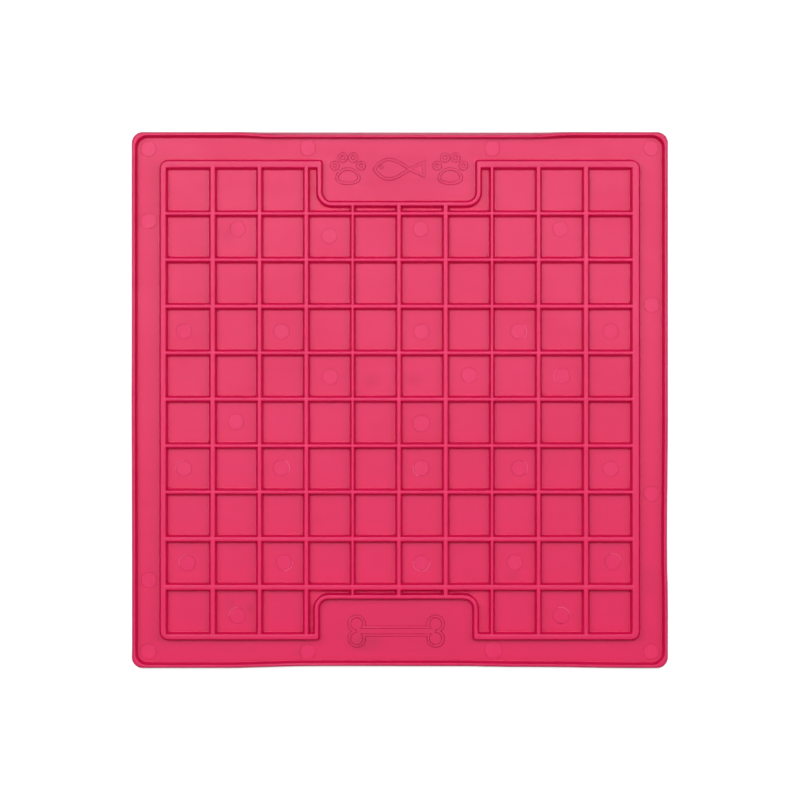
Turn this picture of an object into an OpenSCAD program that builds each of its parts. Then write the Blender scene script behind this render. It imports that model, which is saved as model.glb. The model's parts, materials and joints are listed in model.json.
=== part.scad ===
// Lick mat: one soft rubber moulding. A flat square sheet carries a raised rim, a raised frame and
// a grid of ribs that makes shallow treat cells. Two plain panels dent the grid, one at the far
// edge and one at the near edge, each behind a wall that steps round it.
// Millimetres. The origin is the centre of the underside, +Z is up and +Y is towards the far edge.

/* [Sheet] */
// Width of the mat, left to right
mat_w = 200; // [160:1:260]
// Depth of the mat, near edge to far edge
mat_d = 200; // [160:1:260]
// Thickness of the sheet under the cells
sheet_t = 2; // [1.2:0.1:4]

/* [Rim] */
// Height of the rim above the sheet
rim_h = 3.8; // [2:0.1:5]
// Width of the rim along its crest
rim_crest_w = 1.2; // [0.9:0.1:2.5]
// Radius of the rim's inner foot at the corners of the mat
rim_inner_r = 1.7; // [0.6:0.1:6]
// Draft of the rim's outer face, in degrees
edge_draft_deg = 5; // [2:0.5:8]
// Flat border between the rim and the frame
border_w = 8.55; // [4:0.05:14]

/* [Ridges] */
// Height of the frame, the ribs and the panel walls above the sheet
ridge_h = 3.8; // [2:0.1:5]
// Draft of every flank inside the rim, in degrees
draft_deg = 7; // [3:0.5:9]
// Bevel along both edges of every crest
crest_bevel = 0.25; // [0.1:0.05:0.4]

/* [Frame] */
// Nominal width of the frame along its crest
frame_crest_w = 2.2; // [1.4:0.1:3.2]
// Outer radius of the frame's corners
frame_corner_r = 2.6; // [1:0.1:3]

/* [Grid] */
// Nominal width of a rib along its crest
rib_crest_w = 1.5; // [0.9:0.1:2.2]
// How much longer the cells next to the frame are than the others
end_cell_extra = 0.9; // [0:0.1:2]

/* [Panels] */
// Width of the panel walls along their crest
wall_crest_w = 1.4; // [0.9:0.1:2]
// Distance between a panel's wall and the nearest row rib, centre to centre
bar_to_rib = 3.55; // [3:0.05:6]
// Distance between a panel's wall and the column rib beside it, centre to centre
side_to_rib = 4.9; // [3.8:0.1:8]
// Sideways shift of the near panel
near_shift = -1.1; // [-1.2:0.1:1.2]
// Radius of the wall's two bends, on its centreline
bend_r = 4.5; // [3:0.1:7]
// Outer radius where the frame turns down into a panel's wall
shoulder_r = 1.3; // [1:0.1:2]

/* [Motifs] */
// Height of the raised outlines above the sheet
motif_h = 0.25; // [0.1:0.05:0.6]
// Width of the outlines
motif_line_w = 0.9; // [0.4:0.1:1.1]

/* [Hidden] */
$fn = 96;
// Sides of a motif's curved outline
motif_fn = 48;

// Each rib's crest width, from the left or from the far edge, as a share of rib_crest_w
column_width_shares = [1.2, 1, 1.02, 0.7, 1, 1.1, 0.72, 1, 1.18];
row_width_shares = [0.86, 0.84, 0.94, 0.88, 0.92, 0.86, 0.88, 1.16, 1.3];
// Each rib's place against an even spacing, as a share of the pitch
column_nudge_shares = [0, 0, 0, -0.01, -0.02, -0.02, -0.03, -0.035, -0.02];
row_nudge_shares = [-0.01, 0, 0.005, 0.01, 0.02, 0.025, 0.035, 0.03, 0];
// The crest width of the frame's left, right, far and near bars, as a share of frame_crest_w
frame_width_shares = [0.91, 1.16, 1.02, 0.86];
// Number of columns on each side of a panel
columns_beside = 3;
// The smallest part of a wall that a rounded corner leaves straight
corner_limit_share = 0.95;

column_count = len(column_width_shares);
row_count = len(row_width_shares);

// How far a flank leans in over a height, and the width of a ridge at its foot
function lean(h, deg = draft_deg) = h * tan(deg);
function foot_w(crest, h = ridge_h) = crest + 2 * lean(h);

rim_foot_w = lean(rim_h) + rim_crest_w + lean(rim_h, edge_draft_deg);
mat_corner_r = rim_inner_r + rim_foot_w;

// Half the frame, centre of the mat to its outer foot
frame_x = mat_w / 2 - rim_foot_w - border_w;
frame_y = mat_d / 2 - rim_foot_w - border_w;
left_crest_w = frame_crest_w * frame_width_shares[0];
right_crest_w = frame_crest_w * frame_width_shares[1];
far_crest_w = frame_crest_w * frame_width_shares[2];
near_crest_w = frame_crest_w * frame_width_shares[3];

// The inner edge of each bar's flat crest, where the ribs end
frame_margin = lean(ridge_h) + crest_bevel;
left_end = -frame_x + foot_w(left_crest_w) - frame_margin;
right_end = frame_x - foot_w(right_crest_w) + frame_margin;
far_end = frame_y - foot_w(far_crest_w) + frame_margin;
near_end = -frame_y + foot_w(near_crest_w) - frame_margin;

// Pitch of the ribs between the centrelines of the frame's bars
frame_half_foot = foot_w(frame_crest_w) / 2;
column_pitch = 2 * (frame_x - frame_half_foot - end_cell_extra) / (column_count + 1);
row_pitch = 2 * (frame_y - frame_half_foot - end_cell_extra) / (row_count + 1);
function column_x(i) = (i - (column_count + 1) / 2 + column_nudge_shares[i - 1]) * column_pitch;
function row_y(i) = ((row_count + 1) / 2 - i + row_nudge_shares[i - 1]) * row_pitch;
function column_crest_w(i) = rib_crest_w * column_width_shares[i - 1];
function row_crest_w(i) = rib_crest_w * row_width_shares[i - 1];

// Centrelines of the panel walls: sides at x, bar at y
last_beside = column_count + 1 - columns_beside;
panel_left = column_x(columns_beside) + side_to_rib;
panel_right = column_x(last_beside) - side_to_rib;
far_bar_y = row_y(1) + bar_to_rib;
near_bar_y = row_y(row_count) - bar_to_rib;
wall_foot_w = foot_w(wall_crest_w);

// Middle of the panels, and the clear room between their walls, where the motifs lie
far_panel_y = (far_bar_y + wall_foot_w / 2 + mat_d / 2 - rim_foot_w) / 2;
near_panel_y = (near_bar_y - wall_foot_w / 2 - mat_d / 2 + rim_foot_w) / 2;
panel_middle = (panel_left + panel_right) / 2;
panel_room = panel_right - panel_left - wall_foot_w;

// The motifs as shares of that room: a paw's height, its distance from the fish, the length of the
// fish and the length of the bone; and a knob's radius as a share of the bone
paw_size_share = 0.23;
paw_spacing_share = 0.335;
fish_share = 0.34;
bone_share = 0.63;
bone_knob_share = 0.09;
paw_size = paw_size_share * panel_room;
paw_spacing = paw_spacing_share * panel_room;
fish_l = fish_share * panel_room;
bone_l = bone_share * panel_room;
bone_knob_r = bone_knob_share * bone_l;

// Section of a ridge that stands on the sheet: width along x, height along y
function ridge_points(crest, h) =
    let (shoulder = crest / 2 + lean(crest_bevel))
    [
        [-foot_w(crest, h) / 2, 0], [-shoulder, h - crest_bevel], [crest_bevel - crest / 2, h],
        [crest / 2 - crest_bevel, h], [shoulder, h - crest_bevel], [foot_w(crest, h) / 2, 0]
    ];

// Section of the rim, from its inner foot outwards
rim_points = [
    [0, 0], [lean(rim_h - crest_bevel), rim_h - crest_bevel], [lean(rim_h) + crest_bevel, rim_h],
    [rim_foot_w - lean(rim_h, edge_draft_deg) - crest_bevel, rim_h],
    [rim_foot_w - lean(rim_h - crest_bevel, edge_draft_deg), rim_h - crest_bevel], [rim_foot_w, 0]
];

// A section extruded along X or along Y, standing on the sheet
module along_x(x0, x1, y, points) {
    translate([x0, y, sheet_t]) rotate([90, 0, 90]) linear_extrude(x1 - x0) polygon(points);
}
module along_y(y0, y1, x, points) {
    translate([x, y1, sheet_t]) rotate([90, 0, 0]) linear_extrude(y1 - y0) polygon(points);
}
module ridge_x(x0, x1, y, crest) {
    along_x(x0, x1, y, ridge_points(crest, ridge_h));
}
module ridge_y(y0, y1, x, crest) {
    along_y(y0, y1, x, ridge_points(crest, ridge_h));
}

// A corner of two ridges with a round outer edge and a mitred inner one. It stands at the outer
// corner of the feet and grows towards +X and +Y; crest_u is the crest of the ridge that runs
// along Y, and crest_v of the one that runs along X.
module ridge_corner(wanted_r, crest_u, crest_v) {
    foot_u = foot_w(crest_u);
    foot_v = foot_w(crest_v);
    least_r = lean(ridge_h) + 2 * crest_bevel;
    r = max(least_r, min(wanted_r, corner_limit_share * min(foot_u, foot_v)));
    crest_edge = r - lean(ridge_h);
    ridge_x(r, foot_u, foot_v / 2, crest_v);
    ridge_y(r, foot_v, foot_u / 2, crest_u);
    translate([r, r, sheet_t]) rotate([0, 0, 180]) rotate_extrude(angle = 90) polygon([
        [0, 0], [r, 0], [crest_edge + lean(crest_bevel), ridge_h - crest_bevel],
        [crest_edge - crest_bevel, ridge_h], [0, ridge_h]
    ]);
}

// The flat sheet with its rounded corners
module base_sheet() {
    color([0.88, 0.27, 0.42]) {
        translate([mat_corner_r - mat_w / 2, -mat_d / 2, 0]) cube([mat_w - 2 * mat_corner_r, mat_d, sheet_t]);
        translate([-mat_w / 2, mat_corner_r - mat_d / 2, 0]) cube([mat_w, mat_d - 2 * mat_corner_r, sheet_t]);
        for (sx = [-1, 1], sy = [-1, 1])
            translate([sx * (mat_w / 2 - mat_corner_r), sy * (mat_d / 2 - mat_corner_r), 0])
                cylinder(r = mat_corner_r, h = sheet_t);
    }
}

// One straight side of the rim, on the right; the others are turned copies
module rim_bar(half, length) {
    translate([half - rim_foot_w, 0, 0]) along_y(-length / 2, length / 2, 0, rim_points);
}
rim_length_y = mat_d - 2 * mat_corner_r;
rim_length_x = mat_w - 2 * mat_corner_r;
module rim_right() {
    color([0.91, 0.3, 0.46]) rim_bar(mat_w / 2, rim_length_y);
}
module rim_left() {
    color([0.91, 0.3, 0.46]) rotate([0, 0, 180]) rim_bar(mat_w / 2, rim_length_y);
}
module rim_far() {
    color([0.91, 0.3, 0.46]) rotate([0, 0, 90]) rim_bar(mat_d / 2, rim_length_x);
}
module rim_near() {
    color([0.91, 0.3, 0.46]) rotate([0, 0, -90]) rim_bar(mat_d / 2, rim_length_x);
}
module rim_corners() {
    color([0.91, 0.3, 0.46]) for (mx = [0, 1], my = [0, 1]) mirror([mx, 0, 0]) mirror([0, my, 0])
        translate([mat_w / 2 - mat_corner_r, mat_d / 2 - mat_corner_r, sheet_t])
            rotate_extrude(angle = 90) translate([rim_inner_r, 0]) polygon(rim_points);
}

// The four bars of the frame; the far and near ones stop at the panels
module frame_left() {
    color([0.9, 0.29, 0.45])
        ridge_y(foot_w(near_crest_w) - frame_y, frame_y - foot_w(far_crest_w),
            foot_w(left_crest_w) / 2 - frame_x, left_crest_w);
}
module frame_right() {
    color([0.9, 0.29, 0.45])
        ridge_y(foot_w(near_crest_w) - frame_y, frame_y - foot_w(far_crest_w),
            frame_x - foot_w(right_crest_w) / 2, right_crest_w);
}
module frame_far() {
    y = frame_y - foot_w(far_crest_w) / 2;
    color([0.9, 0.29, 0.45]) {
        ridge_x(foot_w(left_crest_w) - frame_x, panel_left - wall_foot_w / 2, y, far_crest_w);
        ridge_x(panel_right + wall_foot_w / 2, frame_x - foot_w(right_crest_w), y, far_crest_w);
    }
}
module frame_near() {
    y = foot_w(near_crest_w) / 2 - frame_y;
    color([0.9, 0.29, 0.45]) {
        ridge_x(foot_w(left_crest_w) - frame_x, panel_left + near_shift - wall_foot_w / 2, y, near_crest_w);
        ridge_x(panel_right + near_shift + wall_foot_w / 2, frame_x - foot_w(right_crest_w), y, near_crest_w);
    }
}
module frame_corners() {
    color([0.9, 0.29, 0.45]) for (side = [[-1, left_crest_w], [1, right_crest_w]],
        end = [[-1, near_crest_w], [1, far_crest_w]])
        translate([side[0] * frame_x, end[0] * frame_y, 0])
            mirror([side[0] > 0 ? 1 : 0, 0, 0]) mirror([0, end[0] > 0 ? 1 : 0, 0])
                ridge_corner(frame_corner_r, side[1], end[1]);
}

// The wall round a panel: two sides, two bends and a bar between them
module panel_sides(shift, bar_y, sense, bar_crest) {
    bend_end = bar_y + sense * bend_r;
    frame_end = sense * (frame_y - foot_w(bar_crest));
    for (x = [panel_left, panel_right])
        ridge_y(min(bend_end, frame_end), max(bend_end, frame_end), x + shift, wall_crest_w);
}
module panel_bends(shift, bar_y, sense) {
    for (side = [[panel_left + bend_r, sense > 0 ? 180 : 90], [panel_right - bend_r, sense > 0 ? 270 : 0]])
        translate([side[0] + shift, bar_y + sense * bend_r, sheet_t]) rotate([0, 0, side[1]])
            rotate_extrude(angle = 90) translate([bend_r, 0]) polygon(ridge_points(wall_crest_w, ridge_h));
}
module panel_bar(shift, bar_y) {
    ridge_x(panel_left + bend_r + shift, panel_right - bend_r + shift, bar_y, wall_crest_w);
}
module far_panel_sides() {
    color([0.92, 0.31, 0.47]) panel_sides(0, far_bar_y, 1, far_crest_w);
}
module far_panel_bends() {
    color([0.92, 0.31, 0.47]) panel_bends(0, far_bar_y, 1);
}
module far_panel_bar() {
    color([0.92, 0.31, 0.47]) panel_bar(0, far_bar_y);
}
module near_panel_sides() {
    color([0.92, 0.31, 0.47]) panel_sides(near_shift, near_bar_y, -1, near_crest_w);
}
module near_panel_bends() {
    color([0.92, 0.31, 0.47]) panel_bends(near_shift, near_bar_y, -1);
}
module near_panel_bar() {
    color([0.92, 0.31, 0.47]) panel_bar(near_shift, near_bar_y);
}

// The four corners where the frame turns down into the panel walls
module panel_shoulders() {
    color([0.92, 0.31, 0.47]) for (end = [[1, 0, far_crest_w], [-1, near_shift, near_crest_w]],
        side = [[1, panel_left + wall_foot_w / 2], [-1, panel_right - wall_foot_w / 2]])
        translate([side[1] + end[1], end[0] * frame_y, 0])
            mirror([side[0] > 0 ? 1 : 0, 0, 0]) mirror([0, end[0] > 0 ? 1 : 0, 0])
                ridge_corner(shoulder_r, wall_crest_w, end[2]);
}

// A rib before it is cut: a row runs between the left and right bars of the frame
module row_bar(i) {
    ridge_x(left_end, right_end, row_y(i), row_crest_w(i));
}
// A column beside the panels runs between the far and near bars, and the others between the walls
module column_bar(i) {
    beside = i <= columns_beside || i >= last_beside;
    wall_margin = wall_crest_w / 2 - crest_bevel;
    y0 = beside ? near_end : near_bar_y + wall_margin;
    y1 = beside ? far_end : far_bar_y - wall_margin;
    ridge_y(y0, y1, column_x(i), column_crest_w(i));
}
module row_rib(i) {
    color([0.93, 0.33, 0.48]) difference() {
        row_bar(i);
        frame_left();
        frame_right();
    }
}
module column_rib(i) {
    color([0.93, 0.33, 0.48]) difference() {
        column_bar(i);
        frame_far();
        frame_near();
        far_panel_bar();
        near_panel_bar();
        for (k = [1:row_count]) row_bar(k);
    }
}

// A raised outline that follows the edge of the first child and leaves the second one open
module outline_band() {
    translate([0, 0, sheet_t]) linear_extrude(motif_h) difference() {
        children(0);
        children(1);
    }
}

// Shares of the paw's size: its heel pad's place and half sizes, and each toe as [x, y, radius]
heel_y_share = -0.2;
heel_half_w_share = 0.34;
heel_half_h_share = 0.24;
heel_waist_share = 0.22;
toe_shares = [[-0.375, 0.1, 0.125], [-0.15, 0.33, 0.133], [0.15, 0.33, 0.133], [0.375, 0.1, 0.125]];

// The heel pad is an ellipse that widens towards its bottom
module heel(inset) {
    half_w = heel_half_w_share * paw_size - inset;
    half_h = heel_half_h_share * paw_size - inset;
    translate([0, heel_y_share * paw_size]) polygon([
        for (k = [0:motif_fn - 1]) let (a = 360 * k / motif_fn)
            [half_w * cos(a) * (1 - heel_waist_share * sin(a)), half_h * sin(a)]
    ]);
}
module paw(x) {
    translate([x, far_panel_y, 0]) {
        outline_band() {
            heel(0);
            heel(motif_line_w);
        }
        for (toe = toe_shares) translate([toe[0] * paw_size, toe[1] * paw_size, 0]) outline_band() {
            circle(r = toe[2] * paw_size);
            circle(r = toe[2] * paw_size - motif_line_w);
        }
    }
}
module paw_motifs() {
    color([0.93, 0.35, 0.5]) for (side = [-1, 1]) paw(panel_middle + side * paw_spacing);
}

// The fish: half its outline from the nose to the tail as shares of its length, and its eye
body_end_share = 0.7;
body_half_share = 0.2;
tail_half_share = 0.17;
tail_waist_share = 0.03;
eye_x_share = 0.16;
eye_y_share = 0.04;
eye_r_share = 0.03;
function fish_half(side) = [
    for (k = [0:motif_fn / 4]) let (t = 4 * k / motif_fn)
        [t * body_end_share * fish_l,
            side * (body_half_share * sin(180 * pow(t, 0.8)) + tail_waist_share * t) * fish_l],
    [fish_l, side * tail_half_share * fish_l]
];
module fish_shape() {
    translate([-fish_l / 2, 0]) polygon(concat(fish_half(1), [
        for (k = [len(fish_half(-1)) - 1:-1:1]) fish_half(-1)[k]
    ]));
}
module fish_motif() {
    color([0.93, 0.35, 0.5]) translate([panel_middle, far_panel_y, 0]) {
        outline_band() {
            fish_shape();
            offset(delta = -motif_line_w) fish_shape();
        }
        translate([(eye_x_share - 1 / 2) * fish_l, eye_y_share * fish_l, sheet_t])
            cylinder(r = eye_r_share * fish_l, h = motif_h);
    }
}

// The bone: a shaft with two round knobs at each end, its half width and the knobs' places as
// shares of a knob's radius
bone_shaft_share = 0.6;
knob_y_share = 0.85;
module bone_shape(inset) {
    half_l = bone_l / 2 - bone_knob_r;
    knob_y = knob_y_share * bone_knob_r;
    square([2 * half_l, 2 * (bone_shaft_share * bone_knob_r - inset)], center = true);
    for (sx = [-1, 1], sy = [-1, 1]) translate([sx * half_l, sy * knob_y]) circle(r = bone_knob_r - inset);
}
module bone_motif() {
    color([0.93, 0.35, 0.5]) translate([panel_middle + near_shift, near_panel_y, 0]) outline_band() {
        bone_shape(0);
        bone_shape(motif_line_w);
    }
}

base_sheet();
rim_left();
rim_right();
rim_far();
rim_near();
rim_corners();
frame_left();
frame_right();
frame_far();
frame_near();
frame_corners();
far_panel_sides();
far_panel_bends();
far_panel_bar();
near_panel_sides();
near_panel_bends();
near_panel_bar();
panel_shoulders();
for (i = [1:row_count]) row_rib(i);
for (i = [1:column_count]) column_rib(i);
paw_motifs();
fish_motif();
bone_motif();
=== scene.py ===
# %% [markdown]
# A lick mat is one soft rubber moulding: a thin square sheet with ridges standing on it. A rim runs
# round the edge, a frame stands inside a flat border, and a grid of ribs divides the inside into
# shallow cells for soft food. Two plain panels are left free behind a wall that steps round them.
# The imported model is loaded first, as a fixed frame. It gives the places of all the ridges, and
# every piece that is modelled here sits where the model's own solid sits.

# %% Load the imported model
import bmesh
import bpy
import json
import math
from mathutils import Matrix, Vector

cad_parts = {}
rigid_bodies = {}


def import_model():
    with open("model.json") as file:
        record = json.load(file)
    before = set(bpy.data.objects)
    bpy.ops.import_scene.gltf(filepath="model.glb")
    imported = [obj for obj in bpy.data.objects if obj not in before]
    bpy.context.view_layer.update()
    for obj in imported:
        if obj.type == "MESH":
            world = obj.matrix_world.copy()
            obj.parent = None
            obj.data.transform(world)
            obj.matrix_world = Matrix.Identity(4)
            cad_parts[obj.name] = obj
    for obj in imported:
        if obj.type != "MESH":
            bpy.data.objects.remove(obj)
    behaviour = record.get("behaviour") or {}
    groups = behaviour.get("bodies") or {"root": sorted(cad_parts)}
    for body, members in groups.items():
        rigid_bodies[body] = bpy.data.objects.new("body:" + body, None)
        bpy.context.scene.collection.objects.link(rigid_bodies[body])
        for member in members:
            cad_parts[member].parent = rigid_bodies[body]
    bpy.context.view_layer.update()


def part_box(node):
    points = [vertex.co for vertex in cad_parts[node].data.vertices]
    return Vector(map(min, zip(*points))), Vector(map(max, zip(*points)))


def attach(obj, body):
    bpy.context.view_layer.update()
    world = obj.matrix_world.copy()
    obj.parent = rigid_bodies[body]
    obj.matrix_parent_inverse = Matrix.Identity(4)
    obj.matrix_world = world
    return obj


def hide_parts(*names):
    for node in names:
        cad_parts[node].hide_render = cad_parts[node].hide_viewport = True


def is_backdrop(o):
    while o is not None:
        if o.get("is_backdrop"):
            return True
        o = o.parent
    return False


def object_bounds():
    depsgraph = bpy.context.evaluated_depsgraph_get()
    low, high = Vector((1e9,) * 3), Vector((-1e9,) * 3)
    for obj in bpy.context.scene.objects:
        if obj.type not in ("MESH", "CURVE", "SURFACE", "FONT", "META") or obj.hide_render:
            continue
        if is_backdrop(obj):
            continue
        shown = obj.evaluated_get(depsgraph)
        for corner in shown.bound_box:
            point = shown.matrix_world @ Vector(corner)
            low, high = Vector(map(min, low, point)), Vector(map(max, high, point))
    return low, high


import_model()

MM = 0.001

# %% [markdown]
# The photograph looks straight down from a little over a metre, so the ridges far from the centre
# show a sliver of their inner flanks and hide their outer ones. A long lens at that distance gives
# the same slivers. The lens follows from the width that the picture covers at the sheet's surface.

# %% Camera
SHEET_TOP = 2.0 * MM
VIEW_WIDTH = 298.29 * MM
CAMERA_ABOVE_SHEET = 1.19
OFF_CENTRE_X, OFF_CENTRE_Y = 0.056 * MM, 0.037 * MM
SENSOR = 36.0

bpy.ops.object.select_all(action="DESELECT")
bpy.ops.object.camera_add(location=(OFF_CENTRE_X, OFF_CENTRE_Y, SHEET_TOP + CAMERA_ABOVE_SHEET))
camera = bpy.context.active_object
camera.name = "overhead_camera"
camera.rotation_euler = (0, 0, 0)
camera.data.sensor_width = SENSOR
camera.data.lens = SENSOR * CAMERA_ABOVE_SHEET / VIEW_WIDTH
bpy.context.scene.camera = camera
print("lens in mm:", round(camera.data.lens, 1))

# %% [markdown]
# The photograph has a white ground with hardly a shadow on it. A floor that glows a little looks
# white and still takes the mat's shadow. A Light Path node gives the whole glow to the camera's own
# rays and about half of it to mirrored rays, or else the flanks of the ridges would turn chalky.
# Sums of sockets are needed in all the materials, so the helper for them comes here.

# %% Floor
FLOOR_WIDTH = 6
FLOOR_BELOW = 0.2 * MM
FLOOR_GREY = 0.6
FLOOR_GLOW = 0.75
MIRRORED_SHARE = 0.55


def maths(tree, operation, *items):
    """One sum on sockets and plain numbers."""
    node = tree.nodes.new("ShaderNodeMath")
    node.operation = operation
    for k, item in enumerate(items):
        if isinstance(item, (int, float)):
            node.inputs[k].default_value = item
        else:
            tree.links.new(item, node.inputs[k])
    return node.outputs[0]


bpy.ops.mesh.primitive_plane_add(size=FLOOR_WIDTH, location=(0, 0, -FLOOR_BELOW))
floor = bpy.context.active_object
floor.name = "studio_floor"
floor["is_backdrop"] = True

floor_paint = bpy.data.materials.new("pale_floor")
floor_paint.use_nodes = True
tree = floor_paint.node_tree
tree.nodes.clear()
matt = tree.nodes.new("ShaderNodeBsdfDiffuse")
matt.inputs["Color"].default_value = (FLOOR_GREY, FLOOR_GREY, FLOOR_GREY, 1)
glow = tree.nodes.new("ShaderNodeEmission")
seen = tree.nodes.new("ShaderNodeLightPath")
both = tree.nodes.new("ShaderNodeAddShader")
result = tree.nodes.new("ShaderNodeOutputMaterial")
mirrored = maths(tree, "ADD", seen.outputs["Is Glossy Ray"], seen.outputs["Is Transmission Ray"])
shown = maths(tree, "MULTIPLY_ADD", mirrored, MIRRORED_SHARE, seen.outputs["Is Camera Ray"])
tree.links.new(maths(tree, "MULTIPLY", shown, FLOOR_GLOW), glow.inputs["Strength"])
tree.links.new(matt.outputs[0], both.inputs[0])
tree.links.new(glow.outputs[0], both.inputs[1])
tree.links.new(both.outputs[0], result.inputs["Surface"])
floor.data.materials.append(floor_paint)
print("floor:", FLOOR_WIDTH, "m wide with a glow of", FLOOR_GLOW)

# %% [markdown]
# Two large soft lamps stand left and right, because the flanks that face left and right are lit and
# those that face up and down the picture are darker. A wide lamp overhead, slightly cool, gives the
# whole mat its soft sheen. All three stand towards the far side, so the far cells are a bit brighter,
# and a weak lamp on the near side keeps the shadows at the ridges' near feet open.

# %% Lamps and air
WHITE = (1.0, 1.0, 1.0)
COOL = (0.97, 1.0, 1.14)
AIR = 0.01
# Name, place, width and depth in metres, power in watts, colour
LAMPS = [("left_softbox", (-0.41, 0.21, 0.79), 0.6, 0.45, 2.72, WHITE),
         ("right_softbox", (0.5, 0.21, 0.735), 0.6, 0.5, 2.34, WHITE),
         ("overhead_softbox", (0.0, 0.22, 1.2), 1.0, 0.3, 6.35, COOL),
         ("near_softbox", (0.0, -0.66, 1.05), 0.5, 0.4, 1.9, WHITE)]


def soft_lamp(name, place, width, depth, power, colour):
    """A rectangular lamp that looks at the middle of the mat."""
    bpy.ops.object.light_add(type="AREA", location=place)
    lamp = bpy.context.active_object
    lamp.name = name
    lamp.data.shape = "RECTANGLE"
    lamp.data.size = width
    lamp.data.size_y = depth
    lamp.data.energy = power
    lamp.data.color = colour
    lamp.rotation_euler = (-Vector(place)).to_track_quat("-Z", "Y").to_euler()


for lamp in LAMPS:
    soft_lamp(*lamp)
world = bpy.data.worlds.new("studio_air")
bpy.context.scene.world = world
world.use_nodes = True
world.node_tree.nodes["Background"].inputs["Color"].default_value = (1, 1, 1, 1)
world.node_tree.nodes["Background"].inputs["Strength"].default_value = AIR
bpy.context.scene.view_settings.view_transform = "Standard"

# %% [markdown]
# All ridges share one section: a flat crest, flanks that lean in by the mould's draft so that the
# part comes out of the mould, a rounded crest edge and a small fillet at the foot. Heights, places
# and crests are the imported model's own. The feet and the corners were measured once more on the dark
# lines of the photograph, and they came out a few tenths of a millimetre wider.

# %% Sizes of the ridges
RIDGE_H = 3.8 * MM
LEAN = 0.617 * MM
ROUNDING = 0.38 * MM
FRAME_ROUNDING = 0.3 * MM
FILLET = 0.1 * MM
FLANGE = 0.3 * MM
SKIN = 0.01 * MM
SUNK = 0.3 * MM
CLOSE = 0.05 * MM
FOOT_Z = SHEET_TOP + SKIN
CREST_Z = SHEET_TOP + RIDGE_H

FRAME_HALF = 89.6 * MM
LEFT_FOOT, RIGHT_FOOT, FAR_FOOT, NEAR_FOOT = 3.235 * MM, 3.785 * MM, 3.777 * MM, 3.225 * MM
WALL_FOOT = 2.633 * MM
PANEL_LEFT, PANEL_RIGHT = -29.89 * MM, 29.37 * MM
FAR_BAR_Y, NEAR_BAR_Y = 72.96 * MM, -73.14 * MM
NEAR_SHIFT = -1.1 * MM
BEND_R, SHOULDER_R, CORNER_R = 4.5 * MM, 1.3 * MM, 3.4 * MM

PITCH = 17.397 * MM
CREST = 1.5 * MM
COLUMN_X = [(i - 5 + nudge) * PITCH for i, nudge in
            enumerate([0, 0, 0, -0.01, -0.02, -0.02, -0.03, -0.035, -0.02], start=1)]
ROW_Y = [(5 - i + nudge) * PITCH for i, nudge in
         enumerate([-0.01, 0, 0.005, 0.01, 0.02, 0.025, 0.035, 0.03, 0], start=1)]
COLUMN_CREST = [CREST * s for s in (1.2, 1, 1.02, 0.7, 1, 1.1, 0.72, 1, 1.18)]
ROW_CREST = [CREST * s for s in (0.86, 0.84, 0.94, 0.88, 0.92, 0.86, 0.88, 1.16, 1.3)]
for i in range(9):
    low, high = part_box(f"column_rib_{i + 1}")
    assert abs((low[0] + high[0]) / 2 - COLUMN_X[i]) < CLOSE
    low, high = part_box(f"row_rib_{i + 1}")
    assert abs((low[1] + high[1]) / 2 - ROW_Y[i]) < CLOSE
print("crest at", round(CREST_Z / MM, 2), "mm; columns at", [round(x / MM, 2) for x in COLUMN_X])

# %% [markdown]
# Operators act on what is selected, so a few helpers carry the whole lesson. One takes up a single
# piece, one lays a flat rectangle in its place and opens edit mode, and one selects by a test on
# place or normal.

# %% Helpers for every piece


def take_all():
    """Selects the whole mesh in edit mode."""
    bpy.ops.mesh.select_all(action="SELECT")


def take_up(piece, edit=False):
    """Makes this piece the only selected one and the active one."""
    bpy.ops.object.select_all(action="DESELECT")
    piece.select_set(True)
    bpy.context.view_layer.objects.active = piece
    if edit:
        bpy.ops.object.mode_set(mode="EDIT")


def flat_sheet(name, x0, x1, y0, y1, z):
    """A flat rectangle at its place and size, in edit mode with its face selected."""
    bpy.ops.object.select_all(action="DESELECT")
    bpy.ops.mesh.primitive_plane_add(size=1, location=((x0 + x1) / 2, (y0 + y1) / 2, z))
    piece = bpy.context.active_object
    piece.name = name
    piece.data.name = name
    piece.scale = (x1 - x0, y1 - y0, 1)
    bpy.ops.object.transform_apply(location=True, rotation=True, scale=True)
    bpy.ops.object.mode_set(mode="EDIT")
    take_all()
    return piece


def pick(kind, test):
    """Selects the vertices, edges or faces of the mesh in edit mode that pass the test."""
    bpy.ops.mesh.select_all(action="DESELECT")
    bpy.ops.mesh.select_mode(type=kind)
    mesh = bmesh.from_edit_mesh(bpy.context.active_object.data)
    found = 0
    for item in {"VERT": mesh.verts, "EDGE": mesh.edges, "FACE": mesh.faces}[kind]:
        if test(item):
            item.select_set(True)
            found += 1
    mesh.select_flush_mode()
    bmesh.update_edit_mesh(bpy.context.active_object.data, loop_triangles=False, destructive=False)
    return found


print("still selected before the first piece:", len(bpy.context.selected_objects), "objects")

# %% [markdown]
# Every ridge is raised in the same way. Inset with a depth lifts the footprint and draws it in, so
# the flanks get their draft in one stroke. A bevel then rounds the crest's edges and, where an edge
# is a valley, fills it with a fillet, as the mould's own rounded corners do.

# %% Raise a ridge and round it
FLANK_NORMAL_Z = 0.9
CORNER_TURN = math.radians(30)


def steep(face):
    """A flank, not a crest or a flange."""
    return abs(face.normal.z) < FLANK_NORMAL_Z


def raise_ridge():
    """Draws the selected footprint up to the crest."""
    bpy.ops.mesh.inset(thickness=LEAN, depth=RIDGE_H - SKIN, use_even_offset=True)


def upper_edge(edge):
    """A crest edge, or the upright corner between two flanks."""
    if len(edge.link_faces) != 2 or all(v.co.z < FOOT_Z + SKIN for v in edge.verts):
        return False
    a, b = edge.link_faces
    if steep(a) and steep(b):
        return edge.calc_face_angle() > CORNER_TURN
    return steep(a) != steep(b)


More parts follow.
